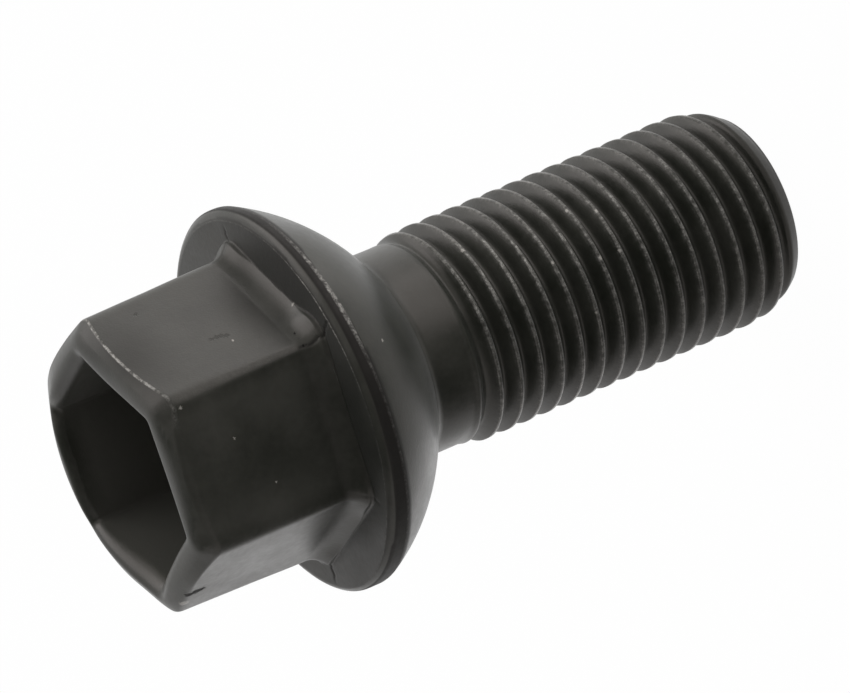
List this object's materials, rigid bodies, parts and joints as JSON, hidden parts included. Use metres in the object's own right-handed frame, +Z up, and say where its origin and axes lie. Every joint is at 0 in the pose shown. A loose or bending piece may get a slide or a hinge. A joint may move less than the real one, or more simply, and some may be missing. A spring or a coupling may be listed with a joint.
{
  "type": "wheel bolt",
  "caption": "Forged steel wheel bolt with a hollow hexagon head, integral ball-seat flange, plain neck and fine-threaded shank, for clamping a car wheel to its hub.",
  "frame": {"origin": "centre of the flat tip face, on which the bolt stands", "axes": "+Z up the bolt's axis from the tip to the open end of the head, +X through a corner of the hexagon"},
  "size_m": [0.025, 0.025, 0.0463],
  "materials": {
    "coated_steel": "satin black conversion coat on steel, worn bright on the thread crests and the rim"
  },
  "bodies": {
    "root": {"wheel_bolt": "coated_steel"}
  },
  "joints": []
}
